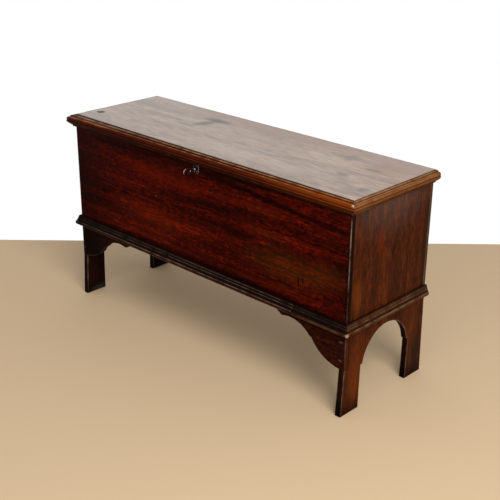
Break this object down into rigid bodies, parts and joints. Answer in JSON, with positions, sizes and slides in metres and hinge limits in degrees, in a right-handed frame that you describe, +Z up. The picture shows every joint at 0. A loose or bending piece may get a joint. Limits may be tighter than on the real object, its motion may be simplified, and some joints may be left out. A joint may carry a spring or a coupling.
{
  "type": "blanket chest",
  "caption": "Long boarded wooden chest on arched end-board legs, with moulded lid and base, shaped front brackets, a strap-hinged lid and a key-worked lock.",
  "frame": {"origin": "on the floor, under the middle of the whole outline with key and hinges", "axes": "+X along the front to the right as one faces it, -Y to the front where the key is, +Z up"},
  "size_m": [1.1966, 0.4205, 0.634],
  "materials": {
    "end_mahogany": "old polish, vertical grain",
    "front_mahogany": "old dark red polish, grain along the board",
    "moulding_mahogany": "old polish, grain along the length",
    "lid_mahogany": "faded polish, grain along the board",
    "plain_wood": "dry, unpolished",
    "wrought_iron": "dark, dull",
    "lock_steel": "worn, slightly tarnished"
  },
  "bodies": {
    "carcass": {"left_end_board": "end_mahogany", "right_end_board": "end_mahogany", "front_board": "front_mahogany", "bracket_left": "front_mahogany", "bracket_right": "front_mahogany", "base_moulding_front_long": "moulding_mahogany", "base_moulding_front_short": "moulding_mahogany", "base_moulding_left": "moulding_mahogany", "base_moulding_right": "moulding_mahogany", "back_board": "plain_wood", "bottom_board": "plain_wood", "front_nails": "wrought_iron", "bracket_nails": "wrought_iron", "back_nails": "wrought_iron", "bottom_nails": "wrought_iron", "base_moulding_pins": "wrought_iron", "left_hinge_leaf": "wrought_iron", "right_hinge_leaf": "wrought_iron", "left_hinge_pin": "wrought_iron", "right_hinge_pin": "wrought_iron", "leaf_nails": "wrought_iron", "lock_plate": "lock_steel", "lock_case": "lock_steel", "lock_nails": "lock_steel", "escutcheon": "lock_steel", "escutcheon_pins": "lock_steel"},
    "lid": {"lid_board": "lid_mahogany", "lid_moulding_front": "moulding_mahogany", "lid_moulding_left": "moulding_mahogany", "lid_moulding_right": "moulding_mahogany", "lid_moulding_pins": "wrought_iron", "left_hinge_strap": "wrought_iron", "right_hinge_strap": "wrought_iron", "strap_nails": "wrought_iron", "link_plate": "lock_steel", "link_nails": "lock_steel"},
    "key": {"key": "lock_steel"},
    "bolt": {"lock_bolt": "lock_steel"}
  },
  "joints": [
    {"name": "lid_hinge", "type": "hinge", "parent": "carcass", "child": "lid", "pos_m": [0, 0.20625, 0.614], "axis": [-1, 0, 0], "range_deg": [0, 100]},
    {"name": "key_turn", "type": "hinge", "parent": "carcass", "child": "key", "pos_m": [0, -0.15925, 0.582], "axis": [0, 1, 0], "range_deg": [0, 360]},
    {"name": "bolt_slide", "type": "slide", "parent": "carcass", "child": "bolt", "axis": [1, 0, 0], "range_m": [0, 0.009]}
  ],
  "couplings": [
    {"joint": "bolt_slide", "follows": "key_turn", "m_per_rad": 0.00143}
  ]
}
